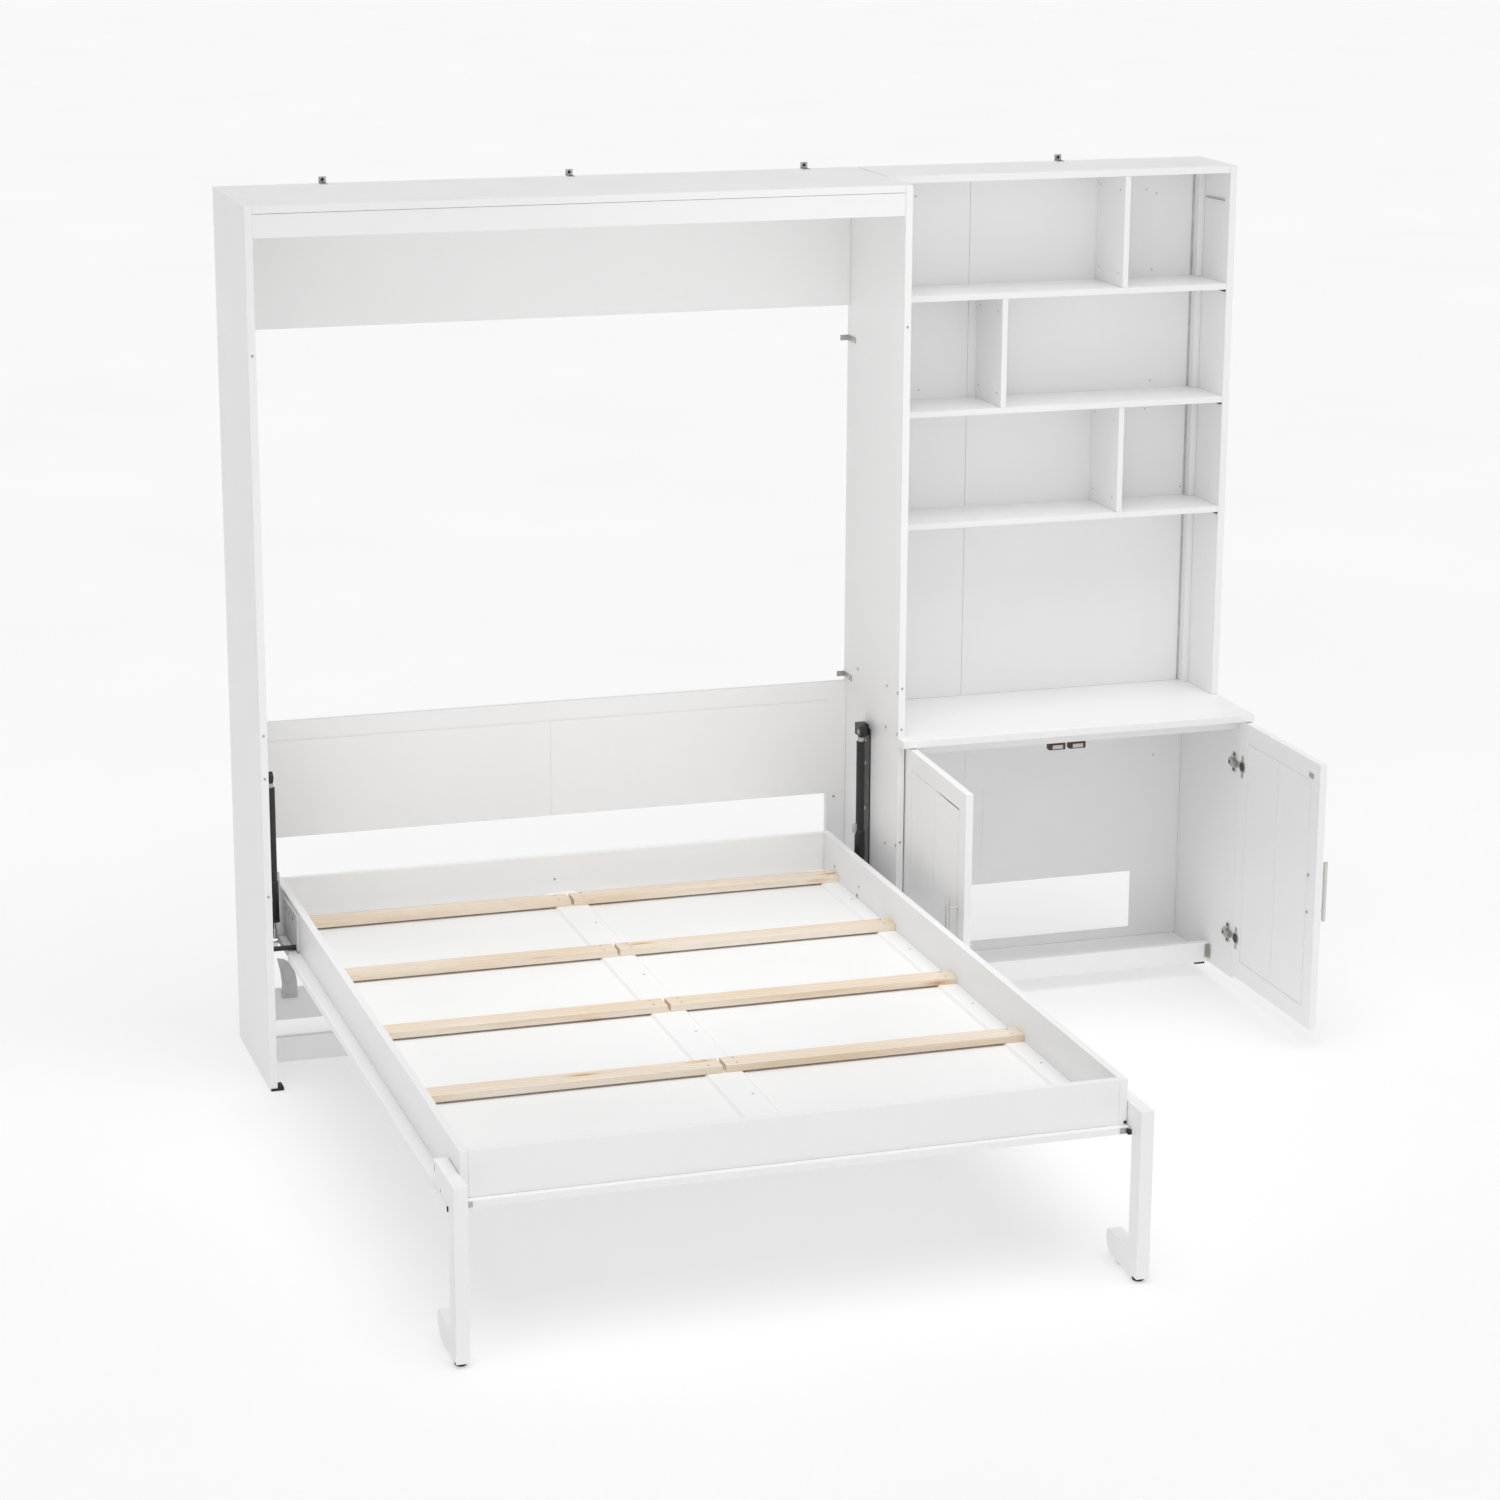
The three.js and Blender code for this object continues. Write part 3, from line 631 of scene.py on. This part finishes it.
def apron_fittings():
    """Magnetic catches under the apron, and a small dark brown slab on the apron's face just under
    the countertop's edge.
    """
    for number, x in enumerate((2036, 2091), 1):
        catch = Shape()
        catch.slab((x - 22, x + 22), (-399.5, -379), (694, 711.8))
        catch.finish(f"magnetic_catch_{number}", BROWN, "cabinet", "black_steel", 0.0012)
        magnet = Shape()
        magnet.slab((x - 14, x + 14), (-401, -399), (697, 707))
        magnet.finish(f"catch_magnet_{number}", NICKEL, "cabinet", "nickel", 0.0003)
    # A small dark brown slab on the apron, just under the countertop's front edge.
    dark_mark = Shape()
    dark_mark.slab((2076, 2096), (-402.4, -400.2), (731, 738))
    dark_mark.finish("apron_dark_mark", BROWN, "cabinet", "black_steel", 0.0005)


def front_rail_fittings():
    """Pads under the front rail, and metal brackets at its ends, which also stand as painted shade
    in the corners where the rail meets the sides.
    """
    foot = Shape()
    foot.slab((2499, 2526), (-269, -256), (38, 42.9))
    foot.slab((1646, 1673), (-269, -256), (38, 42.9))
    foot.finish("front_rail_pads", RUBBER, "cabinet", "rubber", 0.0006)
    # The brackets' dark metal stands in for the shade in the corners between the rail's ends and
    # the sides.
    corner = Shape()
    for x, sign in ((2532.85, -1), (1639.15, 1)):
        corner.slab((x, x + sign * 1.4), (-284, -270.3), (56, 92))
        corner.slab((x, x + sign * 9), (-271.7, -270.3), (56, 92))
    corner.finish("front_rail_shade_brackets", NICKEL, "cabinet", "nickel", 0.0003)


def swing_about(hinge, degrees):
    """The turn that opens a closed door about its hinge line."""
    pivot = at(*hinge, 0)
    turn = Matrix.Rotation(math.radians(degrees), 4, "Z")
    return Matrix.Translation(pivot) @ turn @ Matrix.Translation(-pivot)


def door_fittings():
    """Concealed hinges, screws of the pulls and strike plates, laid out on the closed doors."""
    doors = (  # side, sign, hinge line, hinged edge, cupboard side, degrees open, free edge, strike
        ("left", 1, HINGE_LEFT, 1620.3, 1636.3, -DOOR_LEFT_OPEN, 2084.15, 2036),
        ("right", -1, HINGE_RIGHT, 2551.0, 2535.0, DOOR_RIGHT_OPEN, 2087.15, 2134),
    )
    for side, sign, hinge, edge, panel, degrees, free, middle in doors:
        swing = swing_about(hinge, degrees)
        body = f"{side}_door"
        for level, z in (("upper", 621), ("lower", 160)):
            cup = Shape()
            x, y = edge + sign * 22, DOOR_BACK
            cup.turned([(17.5, 0), (17.5, 1.0), (16.5, 1.4)], (x, y, z), (0, 1, 0), 32)
            cup.slab((x - 6.5, x + 6.5), (y, y + 1.2), (z - 29, z + 29))
            cup.slab((edge + sign * 4, x), (y, y + 1.4), (z - 8, z + 8))
            cup.finish(f"hinge_cup_{level}_{side}", NICKEL, body, "nickel", 0.0003, swing)
            # A black disc in the cup: painted shade for the cup's hollow.
            hollow_shade = Shape()
            hollow_shade.turned([(12.5, 0.6), (12.5, 1.9)], (x, y, z), (0, 1, 0), 28)
            hollow_shade.finish(f"hinge_hollow_shade_{level}_{side}", BLACK, body, "black_steel", 0.0, swing)
            arm = Shape()
            wall = panel + sign * 0.1
            arm.slab((wall, wall + sign * 2.2), (-402, -360), (z - 8, z + 8))
            arm.slab((wall, wall + sign * 2.2), (-394, -378), (z - 26, z + 26))
            arm.slab((wall + sign * 2, wall + sign * 12), (-413.2, -372), (z - 8, z + 8))
            arm.turned([(9, 0), (9, 3), (7, 4)], (wall + sign * 11, -398, z), (sign, 0, 0), 24)
            arm.finish(f"hinge_arm_{level}_{side}", NICKEL, "cabinet", "nickel", 0.0006)
            heads = Shape()
            for dz in (-20, 20):
                heads.screw((wall + sign * 2.2, -386, z + dz), (sign, 0, 0), 3.6, 1.4)
            heads.screw((wall + sign * 12, -380, z), (sign, 0, 0), 3.4, 1.2)
            heads.finish(f"hinge_screws_{level}_{side}", BLACK, "cabinet", "black_steel")
        inside = Shape()
        pull = free - sign * 41
        for z in (352, 448):
            inside.screw((pull, DOOR_BACK, z), (0, 1, 0), 5.0, 1.4)
        inside.finish(f"pull_screws_{side}", NICKEL, body, "nickel", 0.0, swing)
        strike = Shape()
        strike.slab((middle - 13, middle + 13), (DOOR_BACK, -414.9), (696, 709))
        strike.finish(f"strike_plate_{side}", NICKEL, body, "nickel", 0.0002, swing)


panel_fittings()
wall_straps()
strut_fittings()
pivot_fittings()
leg_fittings()
ledge_fillets()
bed_screws()
bookcase_fittings()
apron_fittings()
front_rail_fittings()
door_fittings()


# ---------- stage ----------
def hang(lamp, aim, place=(0, 0, 0)):
    """A lamp in the scene, turned to shine along aim and hidden from the camera."""
    holder = bpy.data.objects.new(lamp.name, lamp)
    bpy.context.scene.collection.objects.link(holder)
    holder.location = place
    holder.rotation_euler = aim.to_track_quat("-Z", "Y").to_euler()
    holder.visible_camera = False


def make_stage():
    """A glowing white floor, an even white world, two wide suns and three soft lamps."""
    scene = bpy.context.scene
    scene.view_settings.view_transform = "Standard"
    nodes = Nodes("floor")
    cloud = nodes.noise(nodes.coordinates((1, 1, 1)), 0.8, 3)
    tone = nodes.ramp(cloud, [(0.3, (0.61, 0.61, 0.61)), (0.7, (0.63, 0.63, 0.63))])
    nodes.finish(tone, 0.9, specular=0.0)
    nodes.shader.inputs["Emission Color"].default_value = (1, 1, 1, 1)
    nodes.shader.inputs["Emission Strength"].default_value = FLOOR_GLOW
    mesh = bpy.data.meshes.new("floor")
    low, high = -FLOOR_HALF, FLOOR_HALF
    corners = [(low, low, 0), (high, low, 0), (high, high, 0), (low, high, 0)]
    mesh.from_pydata(corners, [], [(0, 1, 2, 3)])
    floor = bpy.data.objects.new("floor", mesh)
    floor.data.materials.append(nodes.material)
    scene.collection.objects.link(floor)
    world = bpy.data.worlds.new("studio")
    world.use_nodes = True
    background = world.node_tree.nodes["Background"]
    background.inputs["Color"].default_value = (1, 1, 1, 1)
    background.inputs["Strength"].default_value = WORLD_STRENGTH
    scene.world = world
    for name, strength, softness, elevation, azimuth in SUNS:
        lamp = bpy.data.lights.new(name, "SUN")
        lamp.energy = strength
        lamp.angle = math.radians(softness)
        rise, bearing = math.radians(elevation), math.radians(azimuth)
        flat = math.cos(rise)
        place = Vector((math.sin(bearing) * flat, -math.cos(bearing) * flat, math.sin(rise)))
        hang(lamp, -place)
    for name, power, size, place, target in SOFT_LAMPS:
        lamp = bpy.data.lights.new(name, "AREA")
        lamp.shape = "SQUARE"
        lamp.size = size
        lamp.energy = power
        hang(lamp, at(*target) - at(*place), at(*place))


make_stage()
